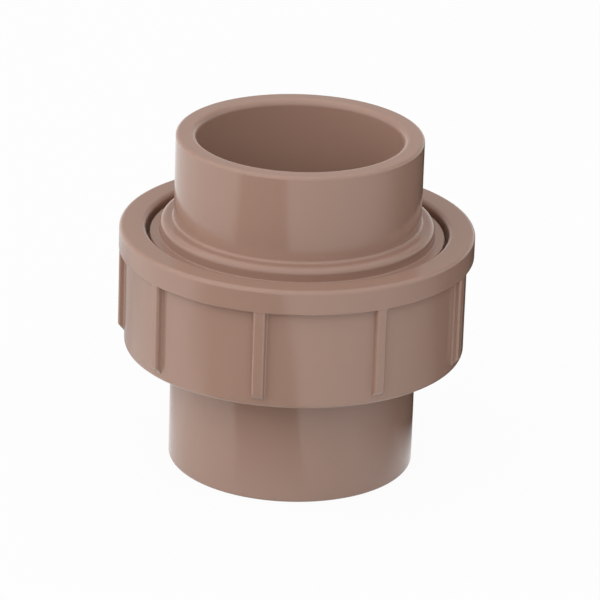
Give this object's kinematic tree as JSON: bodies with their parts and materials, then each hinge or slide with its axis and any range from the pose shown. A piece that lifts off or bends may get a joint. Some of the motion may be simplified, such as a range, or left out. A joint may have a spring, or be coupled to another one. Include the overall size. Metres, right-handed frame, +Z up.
{
  "type": "pipe union",
  "caption": "Glued-socket plastic pipe union: two socket ends drawn together on an O-ring by a ribbed ring nut that unscrews.",
  "frame": {"origin": "centre of the lower rim's face, on the pipe axis", "axes": "+Z up the pipe axis, from the threaded end to the flanged end"},
  "size_m": [0.0872, 0.0872, 0.0845],
  "materials": {
    "moulded_plastic": "satin moulded rigid plastic, dull brown",
    "seal_rubber": "matte black rubber"
  },
  "bodies": {
    "threaded_end": {"threaded_end": "moulded_plastic", "o_ring": "seal_rubber"},
    "flanged_end": {"flanged_end": "moulded_plastic"},
    "union_nut": {"union_nut": "moulded_plastic"}
  },
  "joints": [
    {"name": "flanged_end_lift", "type": "slide", "parent": "threaded_end", "child": "flanged_end", "axis": [0, 0, 1], "range_m": [0, 0.0221]},
    {"name": "nut_unscrew", "type": "hinge", "parent": "flanged_end", "child": "union_nut", "pos_m": [0, 0, 0.045], "axis": [0, 0, 1], "range_deg": [0, 1980]}
  ],
  "couplings": [
    {"joint": "flanged_end_lift", "follows": "nut_unscrew", "m_per_rad": 0.00063662}
  ]
}
